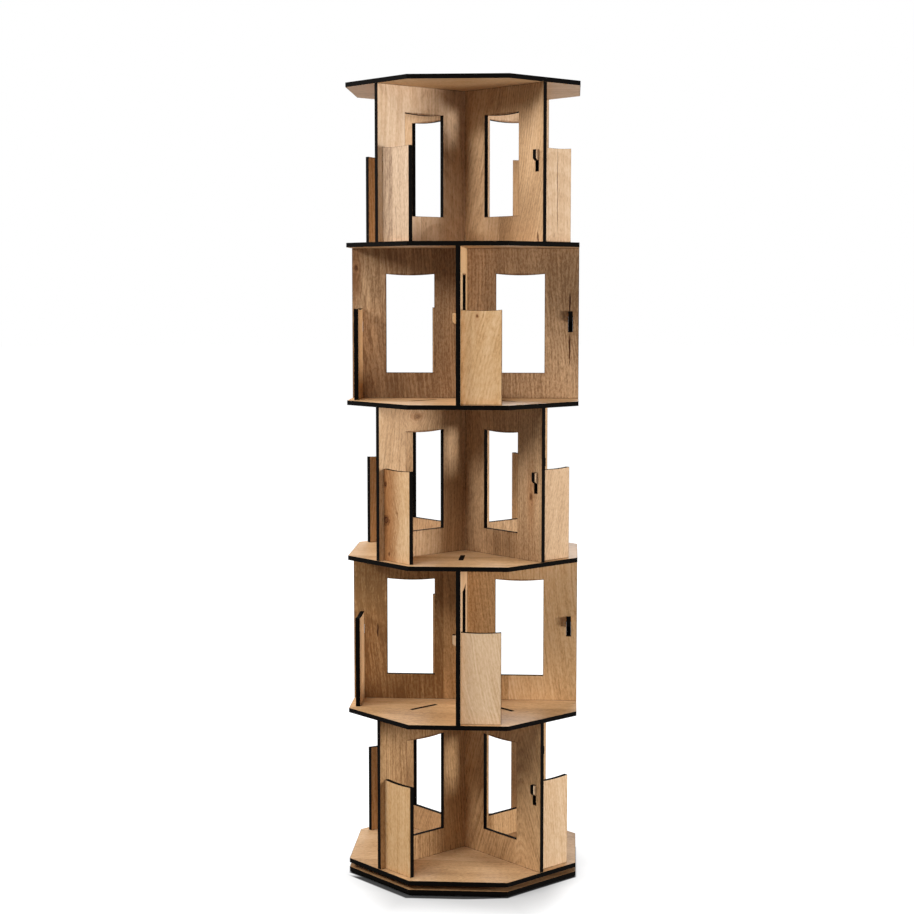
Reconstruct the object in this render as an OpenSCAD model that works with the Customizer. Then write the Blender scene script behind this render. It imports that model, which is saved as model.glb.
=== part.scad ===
// Revolving bookcase: a tower of octagonal boards and crossed panels, cut from thin sheet,
// that turns on a ball-bearing turntable above a base plate.
// Millimetres, +Z up. The origin is on the floor, under the turning axis. The front is -Y.

/* [Boards] */
// Thickness of every board, panel and stop
board_t = 8; // [6:0.5:10]
// Width of an octagonal board across its flats
board_flats = 410; // [390:5:460]
// Length of the board sides that face front, back, left and right
board_side = 173; // [150:1:185]

/* [Tiers] */
// Number of tiers
tier_count = 5; // [2:1:6]
// Clear height between two boards
tier_clear = 270; // [250:5:320]

/* [Panel windows] */
// Distance from the turning axis to a window
window_start = 56; // [45:1:70]
// Width of a window
window_w = 87.5; // [60:0.5:100]
// Height of the panel's strip below a window
window_sill = 46; // [30:1:60]
// Height of a window at its sides
window_h = 178; // [140:1:190]
// Radius of the arc along the top of the windows and the stops
top_arc_r = 380; // [250:10:800]

/* [Book stops] */
// Width of a stop from the panel's face to its free edge
stop_w = 70; // [50:1:80]
// Height of a stop at its corners
stop_h = 162; // [155:1:200]
// Distance from a panel's end to the stop's outer face
stop_inset = 11; // [6:0.5:20]
// Height of the panel slot's lower end above the board
slot_sill = 120; // [80:1:125]
// Height of the panel slot
slot_h = 28; // [22:1:32]
// Height of the hook's stem, which fills the top of the slot
stem_h = 10; // [6:0.5:14]
// Height by which the hook's head overlaps the panel above the slot
hook_rise = 9; // [5:0.5:12]
// Length by which the hook's head stands out of the panel
hook_reach = 7; // [5:0.5:10]
// Chamfer on the lower outer corner of the hook's head
hook_chamfer = 4; // [1:0.5:5]

/* [Joinery] */
// Distance from the turning axis to the middle of a tenon
tenon_middle = 100; // [80:1:140]
// Length of a tenon along its panel
tenon_l = 60; // [30:1:80]
// Depth of a tenon's end below the far face of its board
tenon_recess = 0.3; // [0.1:0.1:1]
// Gap on each side of a tenon, a hook or a crossing panel
joint_gap = 0.1; // [0.05:0.05:0.2]

/* [Turntable] */
// Height of the turntable between the base plate and the bottom board
turntable_h = 8; // [7:0.5:12]
// Side of the turntable's square plates
plate_side = 150; // [145:5:200]
// Corner radius of the turntable's plates
plate_corner_r = 9; // [4:0.5:12]
// Thickness of the plates' sheet metal
plate_t = 1.2; // [0.8:0.1:1.5]
// Radius of the ball track
track_r = 50; // [45:1:60]
// Width of the raised ring that carries the track
track_w = 14; // [12:0.5:18]
// Gap between the raised rings of the two plates
track_gap = 1.6; // [1.4:0.1:2]
// Diameter of a ball
ball_d = 4; // [3:0.5:4.5]
// Number of balls
ball_count = 24; // [12:1:30]
// Gap between a ball and its track
ball_gap = 0.05; // [0.02:0.01:0.1]
// Thickness of the ball retainer
retainer_t = 1; // [0.6:0.1:1.2]
// Width of the ball retainer
retainer_w = 9; // [7:0.5:12]
// Gap between a ball and its pocket in the retainer
pocket_gap = 0.1; // [0.05:0.05:0.2]
// Width of the rolled rim that holds the plates together
rim_w = 5.5; // [4.5:0.5:8]
// Width of the upper plate's lip that lies under the rim
rim_overlap = 2.5; // [1.5:0.1:3]
// Distance from the rim to the raised ring around it
rim_space = 2.5; // [1.5:0.5:4]
// Gap between the rim and the lip
rim_gap = 0.1; // [0.05:0.05:0.3]

/* [Screws] */
// Diameter of a screw's shank
screw_d = 3.5; // [2.5:0.5:4]
// Length of a screw under its head
screw_l = 6; // [4:0.5:6.5]
// Diameter of a screw's head
screw_head_d = 7; // [5.5:0.5:8]
// Height of a screw's head
screw_head_h = 2.2; // [1.5:0.1:2.5]
// Distance from a screw to the two nearest sides of its plate
screw_inset = 10; // [8:0.5:14]
// Gap around a screw's shank
screw_gap = 0.05; // [0.02:0.01:0.1]
// Diameter of the hole in the base plate that lets a driver reach the upper screws
access_d = 14; // [10:1:18]

/* [Feet] */
// Diameter of a foot pad
pad_d = 14; // [10:1:25]
// Thickness of a foot pad
pad_t = 3; // [2:0.5:6]
// Distance from the base plate's edge to the middle of a foot pad
pad_inset = 10; // [8:1:30]
// Chamfer around the lower edge of a foot pad
pad_chamfer = 0.6; // [0.2:0.1:1]

/* [Hidden] */
$fn = 96;
arm_turn = 90;
arm_count = 4;
half_flats = board_flats / 2;
half_side = board_side / 2;
tier_pitch = tier_clear + board_t;
// Height by which an outline is drawn past the arc that trims it, so that the two meet in one corner
arc_trim = 1;

base_z = pad_t;
turntable_z = base_z + board_t;
tower_z = turntable_z + turntable_h;
track_z = turntable_z + turntable_h / 2;

stop_outer = half_flats - stop_inset;
stop_inner = stop_outer - board_t;
slot_top = slot_sill + slot_h;
stem_top = slot_top - joint_gap;
stem_bottom = stem_top - stem_h;
head_top = slot_top + hook_rise;
head_inner = board_t / 2 + joint_gap;
head_outer = board_t / 2 + hook_reach;
stop_start = board_t / 2 + joint_gap;
stop_end = board_t / 2 + stop_w;

ring_in = track_r - track_w / 2;
ring_out = track_r + track_w / 2;
land_z = track_gap / 2;
half_turntable = turntable_h / 2;
groove_r = ball_d / 2 + ball_gap;
rim_out = ring_in - rim_space;
collar_r = rim_out - rim_w;
lip_in = rim_out - rim_overlap;
lip_top = land_z + plate_t;
screw_place = plate_side / 2 - screw_inset;
screw_depth = screw_l - plate_t;
upper_plate_turn = 45;

wood = "burlywood";
steel = "silver";

// Odd tiers stand on the diagonals and even tiers on the front-back and left-right lines
function tier_turn(tier) = tier % 2 == 1 ? 45 : 0;
function arm_angle(tier, arm) = tier_turn(tier) + arm_turn * (arm - 1);
function board_z(level) = tower_z + level * tier_pitch;
function floor_z(tier) = board_z(tier - 1) + board_t;

function board_name(level) =
    level == 0 ? "bottom_board" : level == tier_count ? "top_board" : str("shelf_", level);
function panel_name(tier, side) = str("panel_", tier, "_", side);
function stop_name(tier, arm) = str("book_stop_", tier, "_", arm);
function pad_name(foot) = str("foot_pad_", foot);

// Outline of the octagonal boards
module octagon() {
    polygon([
        [half_side, -half_flats], [half_flats, -half_side],
        [half_flats, half_side], [half_side, half_flats],
        [-half_side, half_flats], [-half_flats, half_side],
        [-half_flats, -half_side], [-half_side, -half_flats]
    ]);
}

// Slots in a board for the tenons of one tier's panels
module mortises(tier) {
    for (arm = [1 : arm_count])
        rotate(arm_angle(tier, arm))
            translate([tenon_middle - tenon_l / 2 - joint_gap, -board_t / 2 - joint_gap])
                square([tenon_l + 2 * joint_gap, board_t + 2 * joint_gap]);
}

// Places something at the four screws of a turntable plate
module at_screws() {
    for (x = [-1, 1], y = [-1, 1])
        translate([x * screw_place, y * screw_place, 0])
            children();
}

// An octagonal board: level 0 is the bottom board, the last level is the top board
module octagon_board(level) {
    color(wood)
        translate([0, 0, board_z(level)])
            difference() {
                linear_extrude(board_t)
                    difference() {
                        octagon();
                        if (level < tier_count) mortises(level + 1);
                        if (level > 0) mortises(level);
                    }
                if (level == 0)
                    rotate(upper_plate_turn)
                        at_screws()
                            translate([0, 0, -screw_gap])
                                cylinder(d = screw_d + 2 * screw_gap, h = screw_depth + 2 * screw_gap);
            }
}

// Trims a top edge to a bow: a disc whose lowest point hangs below a chord at the given height
module top_arc(chord, height) {
    sag = top_arc_r - sqrt(top_arc_r * top_arc_r - chord * chord / 4);
    translate([0, height - sag + top_arc_r])
        circle(r = top_arc_r, $fn = 360);
}

// One window of a panel, with its bowed top edge
module window() {
    difference() {
        translate([window_start, window_sill])
            square([window_w, window_h + arc_trim]);
        translate([window_start + window_w / 2, 0])
            top_arc(window_w, window_sill + window_h);
    }
}

// Slot in a panel's end for the hook of a book stop
module hook_slot() {
    translate([stop_inner - joint_gap, slot_sill])
        square([board_t + 2 * joint_gap, slot_h]);
}

// Tenons along one edge of a panel
module tenons(height) {
    for (side = [-1, 1])
        translate([side * tenon_middle - tenon_l / 2, height])
            square([tenon_l, board_t - tenon_recess]);
}

// Half-lap slot where two panels cross, from the given height over half of the panel
module half_lap(height) {
    translate([-board_t / 2 - joint_gap, height])
        square([board_t + 2 * joint_gap, tier_clear / 2 + joint_gap]);
}

// Face of a panel: side a is slotted from above and side b from below
module panel_outline(side) {
    difference() {
        union() {
            translate([-half_flats, 0])
                square([board_flats, tier_clear]);
            tenons(tier_clear);
            tenons(tenon_recess - board_t);
        }
        for (turn = [0, 1])
            mirror([turn, 0]) {
                window();
                hook_slot();
            }
        half_lap(side == "a" ? tier_clear / 2 - joint_gap : 0);
    }
}

// An upright panel that runs across the whole tier
module panel(tier, side) {
    color(wood)
        translate([0, 0, floor_z(tier)])
            rotate([90, 0, tier_turn(tier) + (side == "a" ? 0 : arm_turn)])
                translate([0, 0, -board_t / 2])
                    linear_extrude(board_t)
                        panel_outline(side);
}

// Face of a book stop: a plate with a concave top and a hook that goes through the panel's slot
module stop_outline() {
    difference() {
        translate([stop_start, 0])
            square([stop_end - stop_start, stop_h + arc_trim]);
        translate([(board_t / 2 + stop_end) / 2, 0])
            top_arc(stop_w, stop_h);
    }
    translate([-head_inner, stem_bottom])
        square([head_inner + stop_start, stem_h]);
    polygon([
        [-head_inner, stem_bottom],
        [-head_inner, head_top],
        [-head_outer, head_top],
        [-head_outer, stem_bottom + hook_chamfer],
        [-head_outer + hook_chamfer, stem_bottom]
    ]);
}

// A book stop at the end of one arm of a tier's crossed panels
module book_stop(tier, arm) {
    color(wood)
        rotate(arm_angle(tier, arm))
            translate([stop_inner, 0, floor_z(tier)])
                rotate([90, 0, 90])
                    linear_extrude(board_t)
                        stop_outline();
}

// The fixed board under the turntable
module base_plate() {
    color(wood)
        translate([0, 0, base_z])
            difference() {
                linear_extrude(board_t)
                    difference() {
                        octagon();
                        translate([screw_place * sqrt(2), 0])
                            circle(d = access_d);
                    }
                at_screws()
                    translate([0, 0, board_t - screw_depth - screw_gap])
                        cylinder(d = screw_d + 2 * screw_gap, h = screw_depth + 2 * screw_gap);
            }
}

// A foot pad under the middle of one of the base plate's flats
module foot_pad(foot) {
    color("dimgray")
        rotate(arm_turn * (foot - 1))
            translate([half_flats - pad_inset, 0, 0])
                rotate_extrude()
                    polygon([
                        [0, 0], [pad_d / 2 - pad_chamfer, 0],
                        [pad_d / 2, pad_chamfer], [pad_d / 2, pad_t], [0, pad_t]
                    ]);
}

// Square sheet of a turntable plate, drawn with its seat on z = 0 and opened for the ring
module plate_flange() {
    span = plate_side / 2 - plate_corner_r;
    difference() {
        linear_extrude(plate_t)
            difference() {
                union() {
                    square([plate_side, 2 * span], center = true);
                    square([2 * span, plate_side], center = true);
                    for (x = [-1, 1], y = [-1, 1])
                        translate([x * span, y * span])
                            circle(r = plate_corner_r);
                }
                circle(r = ring_out - plate_t);
            }
        at_screws()
            translate([0, 0, -plate_t])
                cylinder(d = screw_d + 2 * screw_gap, h = 3 * plate_t);
    }
}

// Section of a plate's raised ring, with the balls' middle on z = 0 and the ring below it
module ring_section() {
    difference() {
        union() {
            translate([ring_in, -land_z - plate_t])
                square([track_w, plate_t]);
            for (r = [ring_in, ring_out - plate_t])
                translate([r, -half_turntable])
                    square([plate_t, half_turntable - land_z]);
            intersection() {
                translate([track_r, 0])
                    circle(r = groove_r + plate_t);
                translate([ring_in, -half_turntable])
                    square([track_w, half_turntable - land_z]);
            }
        }
        translate([track_r, 0])
            circle(r = groove_r);
    }
}

// Section of the collar and rolled rim that reach through the upper plate and hold it down
module rim_section() {
    translate([collar_r, -lip_top])
        square([ring_in - collar_r, plate_t]);
    translate([collar_r, -lip_top])
        square([plate_t, 2 * lip_top + rim_gap + plate_t]);
    translate([collar_r, lip_top + rim_gap])
        square([rim_w, plate_t]);
}

// The lower plate, screwed to the base plate
module turntable_lower_plate() {
    color(steel) {
        translate([0, 0, turntable_z])
            plate_flange();
        translate([0, 0, track_z])
            rotate_extrude() {
                ring_section();
                rim_section();
            }
    }
}

// The upper plate, screwed to the bottom board, with the lip that the rim holds
module turntable_upper_plate() {
    color(steel)
        translate([0, 0, track_z])
            mirror([0, 0, 1]) {
                translate([0, 0, -half_turntable])
                    rotate(upper_plate_turn)
                        plate_flange();
                rotate_extrude() {
                    ring_section();
                    translate([lip_in, -lip_top])
                        square([ring_in - lip_in, plate_t]);
                }
            }
}

// Places something at every ball
module at_balls() {
    for (ball = [0 : ball_count - 1])
        rotate(ball * 360 / ball_count)
            translate([track_r, 0, track_z])
                children();
}

// The ring of balls, each a separate solid
module bearing_balls() {
    color("gainsboro")
        at_balls()
            sphere(d = ball_d);
}

// The flat ring that keeps the balls apart
module ball_retainer() {
    color("ivory")
        difference() {
            translate([0, 0, track_z - retainer_t / 2])
                linear_extrude(retainer_t)
                    difference() {
                        circle(r = track_r + retainer_w / 2);
                        circle(r = track_r - retainer_w / 2);
                    }
            at_balls()
                cylinder(d = ball_d + 2 * pocket_gap, h = 2 * retainer_t, center = true);
        }
}

// A pan-head screw that points down, with its head's seat on z = 0
module screw() {
    rotate_extrude()
        polygon([
            [0, -screw_l], [screw_d / 4, -screw_l], [screw_d / 2, -screw_l + screw_d / 2],
            [screw_d / 2, 0], [screw_head_d / 2, 0], [screw_head_d / 2, screw_head_h / 2],
            [screw_head_d / 3, screw_head_h], [0, screw_head_h]
        ]);
}

// The screws that hold the lower plate on the base plate
module lower_screws() {
    color(steel)
        translate([0, 0, turntable_z + plate_t])
            at_screws()
                screw();
}

// The screws that hold the upper plate under the bottom board
module upper_screws() {
    color(steel)
        translate([0, 0, tower_z - plate_t])
            mirror([0, 0, 1])
                rotate(upper_plate_turn)
                    at_screws()
                        screw();
}

base_plate();
turntable_lower_plate();
lower_screws();
ball_retainer();
bearing_balls();
turntable_upper_plate();
upper_screws();
for (foot = [1 : arm_count]) {
    foot_pad(foot);
}
for (level = [0 : tier_count]) {
    octagon_board(level);
}
for (tier = [1 : tier_count], side = ["a", "b"]) {
    panel(tier, side);
}
for (tier = [1 : tier_count], arm = [1 : arm_count]) {
    book_stop(tier, arm);
}
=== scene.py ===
"""Looks of the revolving bookcase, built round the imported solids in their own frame.

Metres, Z up, front towards -Y, origin on the floor under the turning axis.
"""
import math
import random
from collections import namedtuple

import bpy
from mathutils import Matrix, Vector


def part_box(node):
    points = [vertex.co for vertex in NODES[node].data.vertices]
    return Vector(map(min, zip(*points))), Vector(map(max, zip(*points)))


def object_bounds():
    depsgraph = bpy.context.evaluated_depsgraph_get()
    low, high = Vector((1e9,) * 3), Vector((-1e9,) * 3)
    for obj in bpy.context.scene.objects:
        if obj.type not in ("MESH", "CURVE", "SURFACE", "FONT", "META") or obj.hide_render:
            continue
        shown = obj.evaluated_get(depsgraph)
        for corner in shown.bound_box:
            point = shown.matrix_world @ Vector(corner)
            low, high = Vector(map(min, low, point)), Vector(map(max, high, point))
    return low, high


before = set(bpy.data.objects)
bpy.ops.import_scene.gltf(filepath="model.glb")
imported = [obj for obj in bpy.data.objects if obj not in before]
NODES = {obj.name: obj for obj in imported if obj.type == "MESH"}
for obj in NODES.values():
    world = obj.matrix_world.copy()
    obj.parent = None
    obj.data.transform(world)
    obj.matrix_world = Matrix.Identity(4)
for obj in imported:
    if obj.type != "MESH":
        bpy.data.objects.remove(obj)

CAD_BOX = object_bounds()

# Camera, taken from the edges of the boards in the picture; angles in degrees, lens in millimetres
CAMERA_AT = (0.1901, -3.2021, 1.0596)
CAMERA_LEVEL = 90.0
CAMERA_YAW = 3.665
CAMERA_PITCH = 5.457
CAMERA_LENS = 69.63
SENSOR_W = 36.0

# Counts of the part, and its turns in degrees
TIERS = 5
ARMS = 4
PADS = 4
ARM_TURN = 360.0 / ARMS
ODD_TIER_TURN = ARM_TURN / 2

# Sizes of the part that the looks repeat; heights are over the board that a tier stands on
HALF_FLATS = CAD_BOX[1][0]
HALF_SIDE = 0.0865
TIER_CLEAR = 0.270
WINDOW_START, WINDOW_END = 0.056, 0.1435
WINDOW_SILL, WINDOW_TOP = 0.046, 0.224
SLOT_START, SLOT_END = 0.186, 0.194
SLOT_SILL, SLOT_TOP = 0.120, 0.148
STOP_MIDDLE_R = (SLOT_START + SLOT_END) / 2
STOP_END, STOP_H = 0.074, 0.162

# Finish of the meshes
WELD = 1e-6
SMOOTH_ANGLE = math.radians(35.0)
FLAT_ANGLE = math.radians(0.05)
CUT_BEVEL = 0.00035
BEVEL_STEPS = 2
BEVEL_ANGLE = math.radians(40.0)
FACE_DOT = 0.99
OAK_SLOT, CUT_SLOT = 0, 1

# Oak decor: linear colours
OAK_DARK = (0.235, 0.120, 0.052, 1.0)
OAK_MID = (0.560, 0.337, 0.174, 1.0)
OAK_PALE = (0.735, 0.520, 0.332, 1.0)
STAIN_SHADE = (0.580, 0.400, 0.270, 1.0)
KNOT_SHADE = (0.160, 0.085, 0.050, 1.0)
SCORCH_SHADE = (0.300, 0.190, 0.120, 1.0)
OAK_HUE = 0.503

# Oak decor: share of each figure in the lightness, the roughness and the height of the surface
OAK_LIGHT = {"fine": 0.60, "streak_light": 1.0, "cloud": 0.75, "dash_light": 1.0, "rings": -0.17,
             "pores": -0.18, "joint": -0.22, "tint": 1.0, "base": 0.55}
OAK_ROUGHNESS = {"fine": 0.22, "pores": 0.12, "spoiled": 0.10, "scorch": 0.15, "base": 0.50}
OAK_HEIGHT = {"fine": 0.35, "streak": 0.25, "dash": 0.08, "rings": -0.15, "pores": -0.60,
              "joint": -0.8, "spoiled": -0.8}
OAK_BUMP, OAK_BUMP_STRENGTH = 0.00012, 0.5
OAK_SPECULAR = 0.12

# Oak decor: strength of dashes and streaks, from lively planks to calm ones
DASH_LIGHT = (0.18, 0.15)
STREAK_LIGHT = (0.66, 0.88)

# Oak decor: noise cells per metre across, through and along the grain
DRIFT_CELLS = (7.0, 1.0, 3.4)
RIPPLE_CELLS = (42.0, 1.0, 17.0)
RING_CELLS = (14.0, 1.0, 3.0)
FINE_CELLS = (430.0, 1.0, 85.0)
STREAK_CELLS = (265.0, 1.0, 7.0)
CLOUD_CELLS = (15.0, 1.0, 3.2)
DASH_CELLS = (360.0, 1.0, 160.0)
PORE_CELLS = (1300.0, 1.0, 90.0)
HEAT_CELLS = (110.0, 1.0, 110.0)

# Oak decor: ranges of a noise, or of one turn of the rings, over which a figure comes or goes
CALM_RANGE = (-0.3, 0.3)
DASH_RANGE = (0.35, 0.61)
PORE_RANGE = (0.58, 0.72)
RING_RISE, RING_FALL = (0.20, 0.85), (0.90, 1.0)
RING_PATCHES, RING_LEAST = (0.30, 0.70), 0.25

# Oak decor: sizes of the figure, and steps between the noise of faces and planks
DRIFT_W = 0.036
RIPPLE_W = 0.0034
ARCH_ROUND = 0.014
RING_SPACING = 0.0056
PITH_SPREAD = 0.46
PITH_DEPTH = 0.036
PITH_DEPTH_SPREAD = 0.05
PITH_TILT = 0.34
JOINT_W = 0.0008
FACE_STEP = 0.37
SEED_STEP = 7.3
PLANK_STEP = 3.7

# Oak decor: width and strength of the scorch beside a cut, and gain and shift of its noise
SCORCH_W, SCORCH_MOST = 0.0016, 0.85
HEAT_GAIN, HEAT_SHIFT = 1.6, -0.1

# Oak decor: ranges of the random draws
SEED = 41
PLANK_COUNT = 3
JOINT_DRAW = (-0.16, -0.02)
PLANK_W_DRAW = (0.12, 0.17)
TINT_DRAW = (-0.10, 0.10)
WARM_DRAW = (0.92, 1.06)
LEAN_DRAW = (-0.10, 0.10)
LOG_DRAW = (0.0, 40.0)

# Knots: ranges in radii from the middle, and gain and shift of the noise that roughens them
KNOT_CELLS = (260.0, 1.0, 160.0)
KNOT_LEAD, KNOT_LEAD_FALL = 0.80, 0.16
KNOT_HEART, KNOT_HALO = (0.30, 0.95), (0.5, 2.0)
KNOT_RING, KNOT_RING_RANGE, KNOT_RING_LEAST = 0.16, (0.02, 0.14), 0.55
KNOT_ROUGHENED, SMEAR_ROUGHENED = (1.1, 0.45), (0.9, 0.55)
SMEAR_ROUND, SMEAR_RANGE, SMEAR_MOST = 0.17, (0.3, 3.3), 0.95

# Cracks: their wander, the gain and shift of their width, and where they fade beside and at the ends
CRACK_CELLS = (30.0, 1.0, 34.0)
CRACK_WANDER = 0.006
CRACK_SWELL = (1.4, 0.3)
CRACK_LEAST_W = 0.00002
CRACK_BESIDE, CRACK_ENDS = (0.4, 1.3), (0.0, 0.2)

# Charred cut edge: linear colours, noise cells per metre and shares of the figures
SOOT_DARK = (0.0014, 0.0011, 0.0009, 1.0)
SOOT_PALE = (0.0040, 0.0031, 0.0024, 1.0)
KERF_SHADE, KERF_SHARE = (0.0009, 0.0007, 0.0006, 1.0), 0.55
RUB_SHADE, RUB_SHARE = (0.030, 0.016, 0.008, 1.0), 0.30
KERF_CELLS = (1300.0, 18.0, 1300.0)
SMOKE_CELLS = (26.0, 120.0, 26.0)
RUB_CELLS, RUB_RANGE = (75.0, 260.0, 75.0), (0.66, 0.80)
CUT_ROUGHNESS = {"kerf": 0.16, "smoke": 0.08, "base": 0.66}
CUT_HEIGHT = {"kerf": 1.0, "rub": -0.5}
CUT_BUMP, CUT_BUMP_STRENGTH = 0.00010, 0.6
CUT_SPECULAR = 0.03

# Mottled solid materials of the turntable and the pads
PATCH_CELLS, PATCH_SHARE = (45.0, 45.0, 45.0), 0.4
MOTTLE_RANGE = (0.30, 0.70)
SOLID_BUMP_STRENGTH = 0.5

# Floor: its painted shade round the base and the painted shadow line along the front of the base and under
# it, with the stretches over which they come or go
FLOOR_R, FLOOR_SIDES = 30.0, 96
FLOOR_TONE, FLOOR_SHADOW_TONE = 0.30, 0.06
SHADE_REACH, SHADE_MOST = 0.18, 0.63
SHADE_LEFT, SHADE_LEFT_X = 0.48, (-0.23, -0.10)
SHADE_RIGHT, SHADE_RIGHT_X = 0.30, (0.14, 0.235)
SHADE_BACK, SHADE_BACK_Y = 0.30, (-0.02, 0.12)
LINE_RANGE = (-0.0135, -0.0085)
LINE_NARROWING, LINE_NARROWING_X = 0.012, (0.0, 0.12)
LINE_END_Y = (-0.115, -0.095)
UNDER_RANGE = (-0.003, 0.002)

# Sky and lamps
SKY_LIGHT, SKY_SEEN = 0.05, 1.0
LAMP_AIM = (0.0, 0.0, 0.72)

# Face is the sign of the coordinate through the board; across and joints are from the turning axis
Knot = namedtuple("Knot", "face across height radius roundness dark smear")
Crack = namedtuple("Crack", "face across height half_length half_width")
Planks = namedtuple("Planks", "joints tints warm lean")
Figure = namedtuple("Figure", "axis rise")
# Board: its normal, the turn and shift to its own coordinates, its floor and the distance to its edge
Board = namedtuple("Board", "normal rotation offset floor edge")

# Knots that show from the front
KNOTS = {
    "book_stop_3_3": (
        Knot(face=-1, across=0.0100, height=0.0721, radius=0.0150, roundness=1.10, dark=1.00, smear=1.0),
        Knot(face=-1, across=0.0085, height=0.1355, radius=0.0062, roundness=0.75, dark=1.00, smear=1.0),
        Knot(face=-1, across=0.0305, height=0.0872, radius=0.0030, roundness=1.10, dark=0.60, smear=0.2),
        Knot(face=-1, across=0.0178, height=0.0130, radius=0.0040, roundness=0.70, dark=0.90, smear=0.8),
    ),
    "book_stop_4_4": (
        Knot(face=-1, across=0.0315, height=0.1515, radius=0.0026, roundness=0.75, dark=0.90, smear=0.3),
    ),
    "panel_4_a": (
        Knot(face=-1, across=-0.1979, height=0.2348, radius=0.0050, roundness=0.62, dark=0.90, smear=0.8),
    ),
    "panel_3_a": (
        Knot(face=-1, across=-0.1170, height=0.2500, radius=0.0115, roundness=2.00, dark=0.60, smear=0.1),
    ),
    "panel_3_b": (
        Knot(face=1, across=-0.1779, height=0.1129, radius=0.0052, roundness=0.62, dark=0.85, smear=0.7),
    ),
}
# Cracks that show from the front
CRACKS = {
    "panel_4_a": (
        Crack(face=-1, across=0.1889, height=0.1720, half_length=0.020, half_width=0.0019),
        Crack(face=-1, across=0.1885, height=0.0911, half_length=0.034, half_width=0.0020),
    ),
    "panel_5_b": (Crack(face=1, across=-0.1927, height=0.0081, half_length=0.010, half_width=0.0020),),
    "panel_2_a": (Crack(face=-1, across=-0.1607, height=0.1272, half_length=0.014, half_width=0.0016),),
    "book_stop_5_4": (Crack(face=-1, across=0.0410, height=0.0896, half_length=0.080, half_width=0.0009),),
}
# Arched figures that show from the front
FIGURES = {
    "panel_1_b": Figure(axis=0.156, rise=0.26),
}
NO_FIGURE = Figure(axis=0.0, rise=0.0)
# Planks that show from the front
PLANKS = {
    # base_plate: its dark tints are painted shade on the strip seen in the gap under the bottom board
    "base_plate": Planks(joints=(-0.0700, 0.0700), tints=(-0.38, -0.36, -0.42), warm=1.00, lean=0.02),
    "bottom_board": Planks(joints=(-0.0600, 0.0900), tints=(0.02, 0.05, -0.12), warm=1.00, lean=0.02),
    "book_stop_5_3": Planks(joints=(0.0095, 0.0300), tints=(0.02, -0.30, 0.06), warm=0.80, lean=-0.05),
    "book_stop_5_4": Planks(joints=(-0.0500, 0.0900), tints=(0.00, 0.03, 0.00), warm=0.89, lean=0.07),
    "book_stop_4_4": Planks(joints=(-0.0500, 0.0900), tints=(0.00, 0.13, 0.00), warm=1.06, lean=-0.24),
    "book_stop_3_3": Planks(joints=(0.0300, 0.0900), tints=(-0.04, 0.13, 0.00), warm=1.02, lean=0.05),
    "book_stop_3_4": Planks(joints=(-0.0500, 0.0900), tints=(0.00, 0.05, 0.00), warm=0.92, lean=-0.20),
    "book_stop_2_4": Planks(joints=(-0.0500, 0.0900), tints=(0.00, 0.22, 0.00), warm=0.96, lean=0.22),
    "book_stop_1_3": Planks(joints=(-0.0500, 0.0900), tints=(0.00, 0.13, 0.00), warm=1.10, lean=0.01),
    "book_stop_1_4": Planks(joints=(-0.0500, 0.0900), tints=(0.00, 0.17, 0.00), warm=0.96, lean=0.08),
    "panel_5_a": Planks(joints=(-0.1072, 0.0450), tints=(0.12, -0.02, -0.04), warm=0.88, lean=0.04),
    "panel_5_b": Planks(joints=(-0.0300, 0.0950), tints=(-0.02, -0.06, -0.10), warm=0.98, lean=-0.22),
    # panel_4_a: its dark tints are partly the wood's tone and partly painted shade of the recessed panel
    "panel_4_a": Planks(joints=(-0.0600, 0.0700), tints=(-0.39, -0.36, -0.30), warm=0.94, lean=0.02),
    "panel_3_a": Planks(joints=(-0.0600, 0.0900), tints=(-0.02, -0.12, -0.06), warm=0.98, lean=-0.04),
    "panel_3_b": Planks(joints=(-0.0500, 0.0800), tints=(-0.12, -0.17, -0.27), warm=0.96, lean=0.02),
    # panel_2_a: the dark tint of its first plank is partly painted shade of the recessed panel
    "panel_2_a": Planks(joints=(-0.0400, 0.0800), tints=(-0.42, -0.17, 0.07), warm=1.05, lean=0.10),
    # panel_1_a: the dark tint of its first plank is partly painted shade under the shelf above
    "panel_1_a": Planks(joints=(-0.0683, 0.0678), tints=(-0.24, -0.16, -0.09), warm=1.04, lean=0.05),
    "panel_1_b": Planks(joints=(-0.0300, 0.0900), tints=(-0.06, -0.11, -0.15), warm=1.02, lean=0.07),
}


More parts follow.
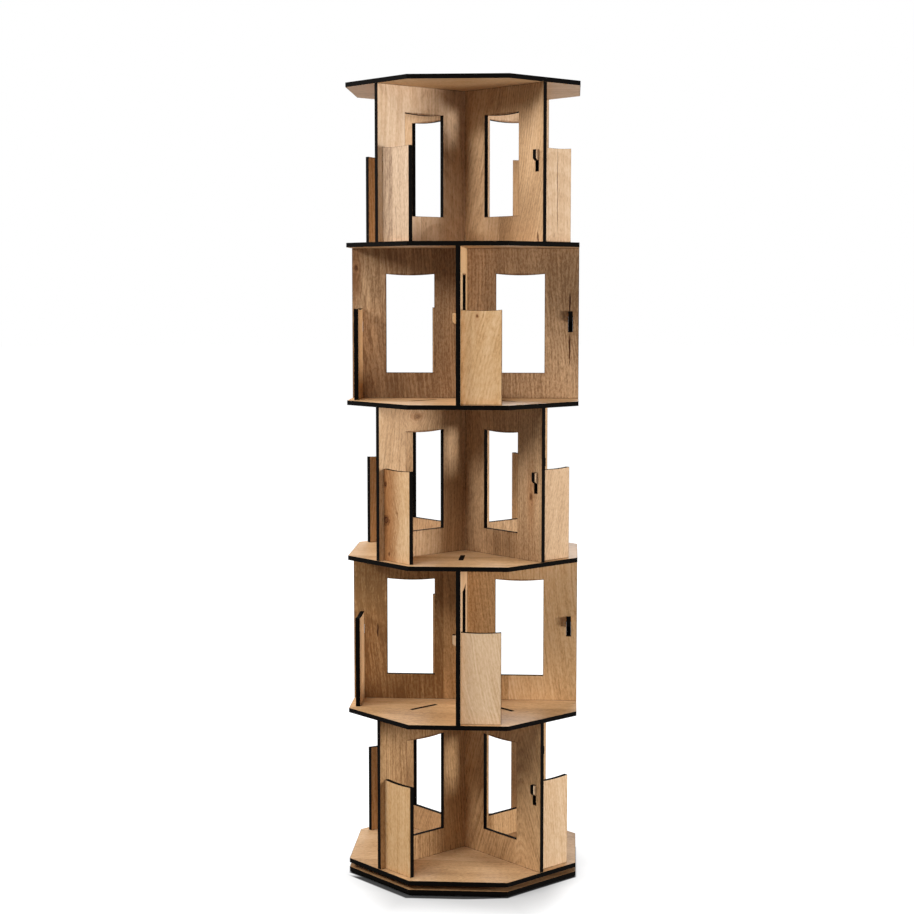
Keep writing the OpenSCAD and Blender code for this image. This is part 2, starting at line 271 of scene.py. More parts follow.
class Graph:
    """Short calls that wire one node tree."""

    # Places of the colour sockets of a mix node
    MIX_FIRST, MIX_SECOND, MIX_RESULT = 6, 7, 2

    def __init__(self, tree):
        self.tree = tree

    def add(self, kind, **settings):
        node = self.tree.nodes.new(kind)
        for key, value in settings.items():
            setattr(node, key, value)
        return node

    def put(self, socket, value):
        """Links a socket to a value of the tree, or sets it to a constant."""
        if isinstance(value, bpy.types.NodeSocket):
            self.tree.links.new(value, socket)
        else:
            socket.default_value = value

    def math(self, operation, *values, clamp=False):
        node = self.add("ShaderNodeMath", operation=operation, use_clamp=clamp)
        for socket, value in zip(node.inputs, values):
            self.put(socket, value)
        return node.outputs[0]

    def product(self, total, *factors):
        for factor in factors:
            total = self.math("MULTIPLY", total, factor)
        return total

    def sum(self, *terms):
        """Adds value times weight over pairs (value, weight)."""
        total = 0.0
        for value, weight in terms:
            total = self.math("MULTIPLY_ADD", value, weight, total)
        return total

    def weigh(self, figures, shares):
        """Adds each figure times the share that goes by its name."""
        return self.sum(*((figures[name], share) for name, share in shares.items()))

    def length(self, x, y):
        squares = self.math("ADD", self.math("MULTIPLY", x, x), self.math("MULTIPLY", y, y))
        return self.math("SQRT", squares)

    def ease(self, value, low, high, out_low=0.0, out_high=1.0):
        """Runs smoothly from out_low at low to out_high at high."""
        node = self.add("ShaderNodeMapRange", interpolation_type="SMOOTHSTEP")
        for socket, item in zip(node.inputs, (value, low, high, out_low, out_high)):
            self.put(socket, item)
        return node.outputs[0]

    def fade(self, value, low, high, most=1.0, least=0.0):
        """Runs smoothly from most at low down to least at high."""
        return self.ease(value, low, high, most, least)

    def vector(self, x, y, z):
        node = self.add("ShaderNodeCombineXYZ")
        for socket, value in zip(node.inputs, (x, y, z)):
            self.put(socket, value)
        return node.outputs[0]

    def split(self, vector):
        node = self.add("ShaderNodeSeparateXYZ")
        self.put(node.inputs[0], vector)
        return node.outputs

    def object_place(self):
        return self.add("ShaderNodeTexCoord").outputs["Object"]

    def noise(self, vector, cells, detail, roughness=0.5):
        """Noise from 0 to 1, with its cells per metre on each axis."""
        scaled = self.add("ShaderNodeVectorMath", operation="MULTIPLY")
        self.put(scaled.inputs[0], vector)
        scaled.inputs[1].default_value = cells
        node = self.add("ShaderNodeTexNoise", noise_dimensions="3D")
        self.put(node.inputs["Vector"], scaled.outputs[0])
        node.inputs["Scale"].default_value = 1.0
        node.inputs["Detail"].default_value = detail
        node.inputs["Roughness"].default_value = roughness
        return node.outputs["Fac"]

    def centred(self, value):
        """A value from 0 to 1, moved to lie about zero."""
        return self.math("SUBTRACT", value, 0.5)

    def blend(self, factor, first, second, kind="MIX"):
        node = self.add("ShaderNodeMix", data_type="RGBA", blend_type=kind)
        self.put(node.inputs[0], factor)
        self.put(node.inputs[self.MIX_FIRST], first)
        self.put(node.inputs[self.MIX_SECOND], second)
        return node.outputs[self.MIX_RESULT]

    def use(self, tree, **values):
        """Puts in a group. Its sockets are named with spaces where the values have underscores."""
        node = self.add("ShaderNodeGroup", node_tree=tree)
        for label, value in values.items():
            self.put(node.inputs[label.replace("_", " ")], value)
        return node.outputs


def new_group(name, numbers, outputs):
    """A shader group that takes Vector and the named numbers: its graph, inputs and outputs."""
    tree = bpy.data.node_groups.new(name, "ShaderNodeTree")
    for label, kind in [("Vector", "Vector")] + [(number, "Float") for number in numbers]:
        tree.interface.new_socket(label, in_out="INPUT", socket_type="NodeSocket" + kind)
    for label, kind in outputs:
        tree.interface.new_socket(label, in_out="OUTPUT", socket_type="NodeSocket" + kind)
    g = Graph(tree)
    return g, g.add("NodeGroupInput").outputs, g.add("NodeGroupOutput").inputs


def surface_group(name, numbers):
    """A shader group that gives the colour, roughness and height of a surface."""
    return new_group(name, numbers, [("Color", "Color"), ("Roughness", "Float"), ("Height", "Float")])


def plank_layout(g, given, side, key):
    """Planks joined across the grain: their number, tint and joint lines, and three chances of the log."""
    past_1 = g.math("GREATER_THAN", side, given["Joint 1"])
    past_2 = g.math("GREATER_THAN", side, given["Joint 2"])
    plank = g.math("ADD", past_1, past_2)
    change_1 = g.math("SUBTRACT", given["Tint 2"], given["Tint 1"])
    change_2 = g.math("SUBTRACT", given["Tint 3"], given["Tint 2"])
    tint = g.sum((past_1, change_1), (past_2, change_2), (given["Tint 1"], 1.0))
    near_1 = g.math("ABSOLUTE", g.math("SUBTRACT", side, given["Joint 1"]))
    near_2 = g.math("ABSOLUTE", g.math("SUBTRACT", side, given["Joint 2"]))
    joint = g.fade(g.math("MINIMUM", near_1, near_2), 0.0, JOINT_W)
    log = g.add("ShaderNodeTexWhiteNoise", noise_dimensions="2D")
    g.put(log.inputs["Vector"], g.vector(plank, key, 0.0))
    chances = [g.centred(channel) for channel in g.split(log.outputs["Color"])]
    return plank, tint, joint, chances


def wandering(g, given, raw, side, along):
    """Place across the grain, whose lines lean and wander a little along the board."""
    drift = g.centred(g.noise(raw, DRIFT_CELLS, detail=1.0))
    ripple = g.centred(g.noise(raw, RIPPLE_CELLS, detail=1.0))
    lean = g.math("MULTIPLY", along, given["Lean"])
    return g.sum((drift, DRIFT_W), (ripple, RIPPLE_W), (lean, 1.0), (side, 1.0))


def arching(g, given, moved, side, along):
    """Place across the grain, whose lines rise in arches over an axis if Rise is above zero.

    They do where the saw ran close to the heart of the log.
    """
    arch = g.length(g.math("SUBTRACT", side, given["Axis"]), ARCH_ROUND)
    arched = g.math("GREATER_THAN", given["Rise"], 0.0)
    return g.sum((g.math("SUBTRACT", arch, side), arched), (along, given["Rise"]), (moved, 1.0))


def growth_rings(g, grain, bent, along, chances):
    """Growth rings cut by the face: straight lines far from the pith, arches near it."""
    aside, deeper, tilted = chances
    pith = g.math("MULTIPLY_ADD", aside, PITH_SPREAD, bent)
    tilt = g.math("MULTIPLY", along, tilted)
    depth = g.sum((deeper, PITH_DEPTH_SPREAD), (tilt, PITH_TILT), (PITH_DEPTH, 1.0))
    turn = g.math("FRACT", g.math("DIVIDE", g.length(pith, depth), RING_SPACING))
    late = g.product(g.ease(turn, *RING_RISE), g.fade(turn, *RING_FALL))
    return g.product(late, g.ease(g.noise(grain, RING_CELLS, detail=1.0), *RING_PATCHES, RING_LEAST, 1.0))


def oak_group():
    """Oak decor. Vector is (across the grain, through the board, along the grain) in metres.

    The sign of the middle coordinate tells the two faces apart, so each has a grain of its own.
    Edge is the distance to the nearest cut, where the heat has browned the face.
    """
    numbers = ("Seed", "Joint 1", "Joint 2", "Tint 1", "Tint 2", "Tint 3", "Warm", "Lean", "Axis", "Rise",
               "Knot", "Stain", "Crack", "Edge")
    g, given, result = surface_group("oak_decor", numbers)
    across, through, along = g.split(given["Vector"])
    face = g.math("SIGN", through)
    key = g.math("MULTIPLY_ADD", face, FACE_STEP, given["Seed"])
    side = g.product(across, face, -1.0)
    plank, tint, joint, chances = plank_layout(g, given, side, key)

    # Each face and plank cuts its own layer of the noise
    layer = g.math("MULTIPLY_ADD", key, SEED_STEP, g.math("MULTIPLY", plank, PLANK_STEP))
    raw = g.vector(side, layer, along)
    moved = wandering(g, given, raw, side, along)
    grain = g.vector(moved, layer, along)
    bent = arching(g, given, moved, side, along)
    figure = g.vector(bent, layer, along)
    figures = {"base": 1.0, "tint": tint, "joint": joint}
    figures["rings"] = growth_rings(g, grain, bent, along, chances)
    figures["fine"] = g.centred(g.noise(grain, FINE_CELLS, detail=3.0, roughness=0.72))
    figures["cloud"] = g.centred(g.noise(figure, CLOUD_CELLS, detail=2.0, roughness=0.55))
    figures["pores"] = g.ease(g.noise(grain, PORE_CELLS, detail=1.0), *PORE_RANGE)

    # Calm planks have long fine lines, lively ones short dashes
    calm = g.ease(chances[2], *CALM_RANGE)
    streak = g.centred(g.noise(figure, STREAK_CELLS, detail=3.0, roughness=0.68))
    dash = g.centred(g.ease(g.noise(grain, DASH_CELLS, detail=2.0, roughness=0.66), *DASH_RANGE))
    figures["streak"], figures["dash"] = streak, dash
    figures["streak_light"] = g.product(streak, g.ease(calm, 0.0, 1.0, *STREAK_LIGHT))
    figures["dash_light"] = g.product(dash, g.ease(calm, 0.0, 1.0, *DASH_LIGHT))

    # Lightness to colour: dark to middle over its lower half, middle to pale over its upper half
    light = g.weigh(figures, OAK_LIGHT)
    low = g.blend(g.math("MULTIPLY", light, 2.0, clamp=True), OAK_DARK, OAK_MID)
    wood = g.blend(g.math("MULTIPLY_ADD", light, 2.0, -1.0, clamp=True), low, OAK_PALE)
    toned = g.add("ShaderNodeHueSaturation")
    toned.inputs["Hue"].default_value = OAK_HUE
    g.put(toned.inputs["Saturation"], given["Warm"])
    g.put(toned.inputs["Color"], wood)

    # Stains, knots, cracks and the heat of the cut darken the wood
    spoiled = g.math("MAXIMUM", given["Knot"], given["Crack"])
    stained = g.blend(given["Stain"], toned.outputs["Color"], STAIN_SHADE, "MULTIPLY")
    marked = g.blend(spoiled, stained, KNOT_SHADE, "MULTIPLY")
    heat_noise = g.noise(raw, HEAT_CELLS, detail=2.0, roughness=0.6)
    heat = g.math("MULTIPLY_ADD", heat_noise, HEAT_GAIN, HEAT_SHIFT)
    browned = g.fade(given["Edge"], 0.0, SCORCH_W, SCORCH_MOST)
    scorch = g.math("MULTIPLY", browned, heat, clamp=True)
    figures["spoiled"], figures["scorch"] = spoiled, scorch

    g.put(result["Color"], g.blend(scorch, marked, SCORCH_SHADE, "MULTIPLY"))
    g.put(result["Roughness"], g.weigh(figures, OAK_ROUGHNESS))
    g.put(result["Height"], g.weigh(figures, OAK_HEIGHT))
    return g.tree


def char_group():
    """Cut edge browned and blackened by the heat of the cut. Vector as in the oak group."""
    g, given, result = surface_group("charred_cut", ())
    kerf = g.noise(given["Vector"], KERF_CELLS, detail=2.0, roughness=0.6)
    smoke = g.noise(given["Vector"], SMOKE_CELLS, detail=3.0, roughness=0.55)
    rub = g.ease(g.noise(given["Vector"], RUB_CELLS, detail=3.0, roughness=0.6), *RUB_RANGE)
    figures = {"base": 1.0, "kerf": kerf, "smoke": smoke, "rub": rub}
    soot = g.blend(smoke, SOOT_DARK, SOOT_PALE)
    lined = g.blend(g.product(kerf, KERF_SHARE), soot, KERF_SHADE)
    g.put(result["Color"], g.blend(g.product(rub, RUB_SHARE), lined, RUB_SHADE))
    g.put(result["Roughness"], g.weigh(figures, CUT_ROUGHNESS))
    g.put(result["Height"], g.weigh(figures, CUT_HEIGHT))
    return g.tree


def on_face(g, through, face):
    """1 on the face whose side of the board is given by the sign of face, else 0."""
    return g.math("GREATER_THAN", g.math("MULTIPLY", through, face), 0.0)


def knot_group():
    """One knot on one face: the grain is led round it, its heart is ringed and it stains the wood.

    Round is its width over its length, Dark the strength of its heart and Smear that of the stain.
    """
    numbers = ("Across", "Along", "Radius", "Round", "Dark", "Smear", "Face")
    outputs = [("Vector", "Vector"), ("Knot", "Float"), ("Stain", "Float")]
    g, given, result = new_group("oak_knot", numbers, outputs)
    across, through, along = g.split(given["Vector"])
    facing = on_face(g, through, given["Face"])
    dx = g.math("SUBTRACT", across, given["Across"])
    dz = g.math("SUBTRACT", along, given["Along"])
    ragged = g.noise(given["Vector"], KNOT_CELLS, detail=2.0, roughness=0.6)

    def reach(roundness):
        """Distance from the middle of the knot in its own radius."""
        return g.math("DIVIDE", g.length(dx, g.math("MULTIPLY", dz, roundness)), given["Radius"])

    near = reach(given["Round"])
    swell = g.math("EXPONENT", g.product(near, near, -KNOT_LEAD_FALL))
    led = g.product(dx, swell, facing, -KNOT_LEAD)
    rough_near = g.product(near, g.math("MULTIPLY_ADD", ragged, *KNOT_ROUGHENED))
    heart = g.fade(rough_near, *KNOT_HEART)
    halo = g.product(g.fade(rough_near, *KNOT_HALO), given["Dark"])
    ringed = g.fade(g.math("PINGPONG", rough_near, KNOT_RING), *KNOT_RING_RANGE, 1.0, KNOT_RING_LEAST)
    dark = g.product(heart, ringed, given["Dark"])
    rough_far = g.product(reach(SMEAR_ROUND), g.math("MULTIPLY_ADD", ragged, *SMEAR_ROUGHENED))
    smear = g.product(g.fade(rough_far, *SMEAR_RANGE, SMEAR_MOST), given["Smear"])
    brown = g.math("MAXIMUM", halo, smear)
    g.put(result["Vector"], g.vector(g.math("ADD", across, led), through, along))
    g.put(result["Knot"], g.math("MULTIPLY", dark, facing, clamp=True))
    g.put(result["Stain"], g.math("MULTIPLY", brown, facing, clamp=True))
    return g.tree


def crack_group():
    """One drying crack on one face: a dark line along the grain that tapers to both ends."""
    numbers = ("Across", "Along", "Half length", "Half width", "Face")
    g, given, result = new_group("oak_crack", numbers, [("Crack", "Float")])
    across, through, along = g.split(given["Vector"])
    wander = g.noise(given["Vector"], CRACK_CELLS, detail=2.0, roughness=0.6)
    line_at = g.math("MULTIPLY_ADD", g.centred(wander), CRACK_WANDER, across)
    dx = g.math("ABSOLUTE", g.math("SUBTRACT", line_at, given["Across"]))
    dz = g.math("DIVIDE", g.math("SUBTRACT", along, given["Along"]), given["Half length"])
    taper = g.math("SUBTRACT", 1.0, g.math("MULTIPLY", dz, dz), clamp=True)
    swell = g.product(taper, g.math("MULTIPLY_ADD", wander, *CRACK_SWELL))
    width = g.math("MULTIPLY_ADD", given["Half width"], swell, CRACK_LEAST_W)
    line = g.fade(g.math("DIVIDE", dx, width), *CRACK_BESIDE)
    shown = g.product(on_face(g, through, given["Face"]), g.ease(taper, *CRACK_ENDS))
    g.put(result["Crack"], g.product(line, shown))
    return g.tree


def blank_material(name):
    """A node material with its graph and its surface shader."""
    material = bpy.data.materials.new(name)
    material.use_nodes = True
    return material, Graph(material.node_tree), material.node_tree.nodes["Principled BSDF"]


def surface(g, shader, colour, roughness, height, depth, strength):
    """Links colour, roughness and a bump of the given depth in metres."""
    g.put(shader.inputs["Base Color"], colour)
    g.put(shader.inputs["Roughness"], roughness)
    bump = g.add("ShaderNodeBump")
    bump.inputs["Strength"].default_value = strength
    bump.inputs["Distance"].default_value = depth
    g.put(bump.inputs["Height"], height)
    g.put(shader.inputs["Normal"], bump.outputs["Normal"])


def board_vector(g, board):
    """Object coordinates turned to (across, through, along) for one board."""
    mapping = g.add("ShaderNodeMapping", vector_type="POINT")
    mapping.inputs["Rotation"].default_value = board.rotation
    mapping.inputs["Location"].default_value = board.offset
    g.put(mapping.inputs["Vector"], g.object_place())
    return mapping.outputs["Vector"]


def edge_of_octagon(g, x, y):
    """Distance to the rim of an octagonal board, below zero outside it."""
    x, y = g.math("ABSOLUTE", x), g.math("ABSOLUTE", y)
    corner = g.math("SUBTRACT", HALF_FLATS + HALF_SIDE, g.math("ADD", x, y))
    slant = g.product(corner, math.sqrt(0.5))
    straight = g.math("SUBTRACT", HALF_FLATS, g.math("MAXIMUM", x, y))
    return g.math("MINIMUM", slant, straight)


def outside_of(g, x, z, left, right, low, high):
    """Distance outside a rectangle, below zero inside it."""
    beside = g.math("MAXIMUM", g.math("SUBTRACT", left, x), g.math("SUBTRACT", x, right))
    beyond = g.math("MAXIMUM", g.math("SUBTRACT", low, z), g.math("SUBTRACT", z, high))
    return g.math("MAXIMUM", beside, beyond)


def edge_of_panel(g, across, height):
    """Distance to the outline, the windows and the hook slots of a panel."""
    x = g.math("ABSOLUTE", across)
    rim = g.product(outside_of(g, x, height, -HALF_FLATS, HALF_FLATS, 0.0, TIER_CLEAR), -1.0)
    window = outside_of(g, x, height, WINDOW_START, WINDOW_END, WINDOW_SILL, WINDOW_TOP)
    slot = outside_of(g, x, height, SLOT_START, SLOT_END, SLOT_SILL, SLOT_TOP)
    return g.math("MINIMUM", rim, g.math("MINIMUM", window, slot))


def edge_of_stop(g, across, height):
    """Distance to the free outline of a book stop; the end that meets the panel isn't browned."""
    return g.product(outside_of(g, across, height, -STOP_END, STOP_END, 0.0, STOP_H), -1.0)


def draw_planks(draw):
    """Planks by chance, and the seed of their logs."""
    first = draw.uniform(*JOINT_DRAW)
    joints = (first, first + draw.uniform(*PLANK_W_DRAW))
    tints = [draw.uniform(*TINT_DRAW) for _ in range(PLANK_COUNT)]
    warm = draw.uniform(*WARM_DRAW)
    lean = draw.uniform(*LEAN_DRAW)
    return Planks(joints, tints, warm, lean), draw.uniform(*LOG_DRAW)


def oak_material(piece, board, draw):
    """Oak decor for one piece, with its planks, knots and cracks."""
    material, g, shader = blank_material("oak_" + piece)
    flat = vector = board_vector(g, board)
    across, _, along = g.split(flat)
    knotted, stained, cracked = 0.0, 0.0, 0.0
    for knot in KNOTS.get(piece, ()):
        made = g.use(KNOT, Vector=vector, Across=knot.across, Along=board.floor + knot.height,
                     Face=knot.face, Radius=knot.radius, Round=knot.roundness, Dark=knot.dark,
                     Smear=knot.smear)
        vector = made["Vector"]
        knotted = g.math("MAXIMUM", knotted, made["Knot"])
        stained = g.math("MAXIMUM", stained, made["Stain"])
    for crack in CRACKS.get(piece, ()):
        made = g.use(CRACK, Vector=flat, Across=crack.across, Along=board.floor + crack.height,
                     Face=crack.face, Half_length=crack.half_length, Half_width=crack.half_width)
        cracked = g.math("MAXIMUM", cracked, made["Crack"])
    drawn, seed = draw_planks(draw)
    planks = PLANKS.get(piece, drawn)
    joint_1, joint_2 = planks.joints
    tint_1, tint_2, tint_3 = planks.tints
    arches = FIGURES.get(piece, NO_FIGURE)
    edge = board.edge(g, across, g.math("SUBTRACT", along, board.floor))
    oak = g.use(OAK, Vector=vector, Seed=seed, Joint_1=joint_1, Joint_2=joint_2,
                Tint_1=tint_1, Tint_2=tint_2, Tint_3=tint_3, Warm=planks.warm, Lean=planks.lean,
                Axis=arches.axis, Rise=arches.rise, Knot=knotted, Stain=stained, Crack=cracked, Edge=edge)
    surface(g, shader, oak["Color"], oak["Roughness"], oak["Height"], OAK_BUMP, OAK_BUMP_STRENGTH)
    shader.inputs["Specular IOR Level"].default_value = OAK_SPECULAR
    return material


def char_material(piece, board):
    """Charred cut edge for one piece."""
    material, g, shader = blank_material("cut_" + piece)
    char = g.use(CHAR, Vector=board_vector(g, board))
    surface(g, shader, char["Color"], char["Roughness"], char["Height"], CUT_BUMP, CUT_BUMP_STRENGTH)
    shader.inputs["Specular IOR Level"].default_value = CUT_SPECULAR
    return material


def solid_material(name, dark, pale, cells, roughness, spread, depth, metallic=0.0):
    """Mottled solid material: two colours, grain cells per metre, roughness and its spread."""
    material, g, shader = blank_material(name)
    place = g.object_place()
    grain = g.noise(place, cells, detail=3.0, roughness=0.6)
    patch = g.noise(place, PATCH_CELLS, detail=2.0)
    mixed = g.sum((grain, 1.0 - PATCH_SHARE), (patch, PATCH_SHARE))
    colour = g.blend(g.ease(mixed, *MOTTLE_RANGE), dark + (1.0,), pale + (1.0,))
    dullness = g.sum((mixed, spread), (roughness - spread / 2, 1.0))
    surface(g, shader, colour, dullness, grain, depth, SOLID_BUMP_STRENGTH)
    shader.inputs["Metallic"].default_value = metallic
    return material


def join_tree(name, flat):
    """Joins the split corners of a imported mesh, with faces that are flat, or smooth over small bends."""
    tree = bpy.data.node_groups.new(name, "GeometryNodeTree")
    tree.interface.new_socket("Geometry", in_out="INPUT", socket_type="NodeSocketGeometry")
    tree.interface.new_socket("Geometry", in_out="OUTPUT", socket_type="NodeSocketGeometry")
    g = Graph(tree)
    merge = g.add("GeometryNodeMergeByDistance")
    merge.inputs["Distance"].default_value = WELD
    g.put(merge.inputs["Geometry"], g.add("NodeGroupInput").outputs["Geometry"])
    normal = g.add("GeometryNodeSetMeshNormal", mode="SHARPNESS")
    normal.inputs["Remove Custom"].default_value = True
    normal.inputs["Face Sharpness"].default_value = flat
    bend = g.add("GeometryNodeInputMeshEdgeAngle").outputs["Unsigned Angle"]
    g.put(normal.inputs["Edge Sharpness"], g.math("GREATER_THAN", bend, SMOOTH_ANGLE))
    g.put(normal.inputs["Mesh"], merge.outputs["Geometry"])
    g.put(g.add("NodeGroupOutput").inputs["Geometry"], normal.outputs["Mesh"])
    return tree


def join_corners(obj, tree):
    obj.modifiers.new("join_corners", "NODES").node_group = tree


def soften_corners(obj):
    """Merges the flat faces of each material and takes the sharpness off the corners."""
    flat = obj.modifiers.new("merge_flat", "DECIMATE")
    flat.decimate_type = "DISSOLVE"
    flat.angle_limit = FLAT_ANGLE
    flat.delimit = {"MATERIAL"}
    bevel = obj.modifiers.new("soft_corners", "BEVEL")
    bevel.width = CUT_BEVEL
    bevel.segments = BEVEL_STEPS
    bevel.limit_method = "ANGLE"
    bevel.angle_limit = BEVEL_ANGLE
    bevel.material = CUT_SLOT


def dress_board(piece, board, draw):
    """Decor on the two faces across the normal, charred cut edges elsewhere, and softened corners."""
    obj = NODES[piece]
    mesh = obj.data
    mesh.materials.clear()
    mesh.materials.append(oak_material(piece, board, draw))
    mesh.materials.append(char_material(piece, board))
    slots = [OAK_SLOT if abs(p.normal.dot(board.normal)) > FACE_DOT else CUT_SLOT for p in mesh.polygons]
    mesh.polygons.foreach_set("material_index", slots)
    join_corners(obj, JOIN_FLAT)
    soften_corners(obj)


def upright(angle, floor, edge, inset=0.0):
    """A standing board that runs along an angle in degrees, grain along Z."""
    turn = math.radians(angle)
    normal = Matrix.Rotation(turn, 3, "Z") @ Vector((0.0, 1.0, 0.0))
    return Board(normal, (0.0, 0.0, -turn), (0.0, inset, 0.0), floor, edge)


def lying(piece):
    """A lying board, grain along X."""
    low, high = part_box(piece)
    # Takes (x, y, z) to (y, z, x), which is (across, through, along)
    cycle = Matrix(((0, 1, 0), (0, 0, 1), (1, 0, 0)))
    offset = (0.0, -(low.z + high.z) / 2, 0.0)
    return Board(Vector((0.0, 0.0, 1.0)), tuple(cycle.to_euler()), offset, 0.0, edge_of_octagon)


def dress_wood():
    """Boards, panels and book stops, in the order of the random draws."""
    draw = random.Random(SEED)
    boards = ["base_plate", "bottom_board"] + ["shelf_%d" % n for n in range(1, TIERS)] + ["top_board"]
    for piece in boards:
        dress_board(piece, lying(piece), draw)
    for tier in range(1, TIERS + 1):
        tier_turn = ODD_TIER_TURN * (tier % 2)
        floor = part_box("book_stop_%d_1" % tier)[0].z
        for letter, angle in (("a", tier_turn), ("b", tier_turn + ARM_TURN)):
            dress_board("panel_%d_%s" % (tier, letter), upright(angle, floor, edge_of_panel), draw)
        for arm in range(1, ARMS + 1):
            stop = upright(tier_turn + ARM_TURN * arm, floor, edge_of_stop, STOP_MIDDLE_R)
            dress_board("book_stop_%d_%d" % (tier, arm), stop, draw)


def zinc_sheet():
    return solid_material("zinc_sheet", dark=(0.36, 0.37, 0.38), pale=(0.62, 0.63, 0.64),
                          cells=(260.0, 260.0, 260.0), roughness=0.42, spread=0.22, depth=0.00004,
                          metallic=1.0)


def screw_steel():
    return solid_material("screw_steel", dark=(0.30, 0.30, 0.31), pale=(0.55, 0.55, 0.56),
                          cells=(900.0, 900.0, 300.0), roughness=0.34, spread=0.20, depth=0.00003,
                          metallic=1.0)


def ball_steel():
    return solid_material("ball_steel", dark=(0.66, 0.67, 0.68), pale=(0.80, 0.81, 0.82),
                          cells=(700.0, 700.0, 700.0), roughness=0.12, spread=0.10, depth=0.00001,
                          metallic=1.0)


def retainer_plastic():
    return solid_material("retainer_plastic", dark=(0.050, 0.050, 0.052), pale=(0.085, 0.085, 0.088),
                          cells=(1400.0, 1400.0, 1400.0), roughness=0.52, spread=0.16, depth=0.00004)


def pad_rubber():
    return solid_material("pad_rubber", dark=(0.010, 0.010, 0.010), pale=(0.028, 0.027, 0.026),
                          cells=(1900.0, 1900.0, 1900.0), roughness=0.78, spread=0.16, depth=0.00008)


def dress_turntable():
    """Plates, screws, balls and retainer of the turntable, and the pads under the base."""
    zinc, screw, rubber = zinc_sheet(), screw_steel(), pad_rubber()
    finishes = {
        "turntable_lower_plate": (zinc, "zinc_steel"),
        "turntable_upper_plate": (zinc, "zinc_steel"),
        "lower_screws": (screw, "screw_steel"),
        "upper_screws": (screw, "screw_steel"),
        "bearing_balls": (ball_steel(), "ball_steel"),
        "ball_retainer": (retainer_plastic(), "retainer_plastic"),
    }
    for n in range(1, PADS + 1):
        finishes["foot_pad_%d" % n] = (rubber, "foot_pad")
    for piece, (material, slot) in finishes.items():
        NODES[piece].data.materials.clear()
        NODES[piece].data.materials.append(material)
        join_corners(NODES[piece], JOIN_SMOOTH)


def seen_directly(g):
    """1 where the camera, a mirror or glass looks straight at it, else 0."""
    path = g.add("ShaderNodeLightPath").outputs
    both = g.math("MAXIMUM", path["Is Camera Ray"], path["Is Glossy Ray"])
    return g.math("MAXIMUM", both, path["Is Transmission Ray"])


def floor_shade(g, x, y, inside):
    """Soft shade round the base, weaker beside and behind it."""
    shade = g.ease(inside, -SHADE_REACH, 0.0, 0.0, SHADE_MOST)
    left = g.ease(x, *SHADE_LEFT_X, SHADE_LEFT, 1.0)
    right = g.fade(x, *SHADE_RIGHT_X, 1.0, SHADE_RIGHT)
    back = g.fade(y, *SHADE_BACK_Y, 1.0, SHADE_BACK)
    return g.product(shade, left, right, back)


def painted_floor_shadow(g, x, y, inside):
    """Painted shadow: a dark line along the front of the base, narrower to the right, and darkness under
    the base.
    """
    shifted = g.math("MULTIPLY_ADD", g.ease(x, *LINE_NARROWING_X), -LINE_NARROWING, inside)
    line = g.product(g.ease(shifted, *LINE_RANGE), g.fade(y, *LINE_END_Y))
    return g.math("MAXIMUM", line, g.ease(inside, *UNDER_RANGE))


def make_floor():
    """Pale floor: it takes the light, and away from the part it reads as white; round and under the base
    its glow and its tone are lowered as painted shade and painted shadow.
    """
    bpy.ops.mesh.primitive_circle_add(vertices=FLOOR_SIDES, radius=FLOOR_R, fill_type="NGON")
    floor = bpy.context.object
    floor.name = "floor"
    material, g, shader = blank_material("pale_floor")
    g.tree.nodes.remove(shader)
    x, y, _ = g.split(g.object_place())
    inside = edge_of_octagon(g, x, y)
    shade = floor_shade(g, x, y, inside)
    dark = painted_floor_shadow(g, x, y, inside)
    # Painted shade and shadow: the glow that makes the floor read as white is lowered round the base and
    # along the shadow line
    glow = g.product(g.math("SUBTRACT", 1.0, shade), g.math("SUBTRACT", 1.0, dark))
    # Painted shadow: the floor's own tone is darker along the line at the front of the base and under the
    # base
    tone = g.fade(dark, 0.0, 1.0, FLOOR_TONE, FLOOR_SHADOW_TONE)
    diffuse = g.add("ShaderNodeBsdfDiffuse")
    g.put(diffuse.inputs["Color"], g.vector(tone, tone, tone))
    emission = g.add("ShaderNodeEmission")
    g.put(emission.inputs["Strength"], g.product(glow, seen_directly(g)))
    both = g.add("ShaderNodeAddShader")
    g.put(both.inputs[0], diffuse.outputs[0])
    g.put(both.inputs[1], emission.outputs[0])
    g.put(g.tree.nodes["Material Output"].inputs["Surface"], both.outputs[0])
    floor.data.materials.append(material)


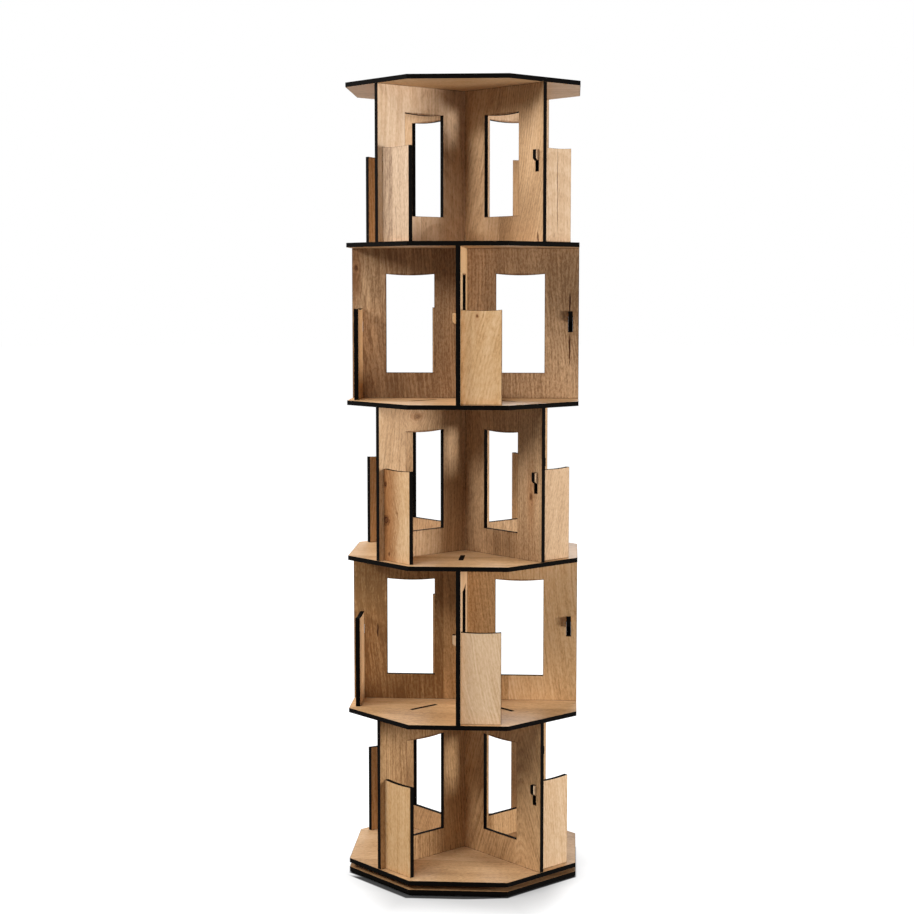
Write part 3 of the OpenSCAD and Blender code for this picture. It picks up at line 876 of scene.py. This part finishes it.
def make_world():
    """White behind the part, and a dim even sky for the light on it."""
    world = bpy.data.worlds.new("studio")
    bpy.context.scene.world = world
    world.use_nodes = True
    g = Graph(world.node_tree)
    background = world.node_tree.nodes["Background"]
    background.inputs["Color"].default_value = (1.0, 1.0, 1.0, 1.0)
    g.put(background.inputs["Strength"], g.ease(seen_directly(g), 0.0, 1.0, SKY_LIGHT, SKY_SEEN))


def softbox(name, place, size, power):
    """Soft rectangular lamp that looks at the middle of the part; power in watts."""
    lamp = bpy.data.lights.new(name, "AREA")
    lamp.shape = "RECTANGLE"
    lamp.size, lamp.size_y = size
    lamp.energy = power
    obj = bpy.data.objects.new(name, lamp)
    bpy.context.scene.collection.objects.link(obj)
    obj.location = place
    toward = Vector(LAMP_AIM) - Vector(place)
    obj.rotation_euler = toward.to_track_quat("-Z", "Y").to_euler()


def make_lights():
    softbox("key", place=(3.31, -1.41, 0.85), size=(1.2, 0.9), power=118.0)
    softbox("fill", place=(-2.28, -1.02, 2.06), size=(1.6, 0.6), power=68.0)
    softbox("front_top", place=(-0.8, -3.1, 4.6), size=(2.0, 2.0), power=104.0)
    softbox("left", place=(-2.7, 1.7, 2.5), size=(1.2, 1.2), power=60.0)
    softbox("back", place=(0.6, 4.2, 2.4), size=(2.0, 1.6), power=62.0)


def make_camera():
    data = bpy.data.cameras.new("camera")
    data.sensor_width = SENSOR_W
    data.lens = CAMERA_LENS
    camera = bpy.data.objects.new("camera", data)
    bpy.context.scene.collection.objects.link(camera)
    camera.location = CAMERA_AT
    camera.rotation_euler = (math.radians(CAMERA_LEVEL - CAMERA_PITCH), 0.0, math.radians(CAMERA_YAW))
    bpy.context.scene.camera = camera


OAK, CHAR, KNOT, CRACK = oak_group(), char_group(), knot_group(), crack_group()
JOIN_FLAT, JOIN_SMOOTH = join_tree("join_flat", True), join_tree("join_smooth", False)
dress_wood()
dress_turntable()
make_floor()
make_world()
make_lights()
make_camera()
bpy.context.scene.view_settings.view_transform = "Standard"
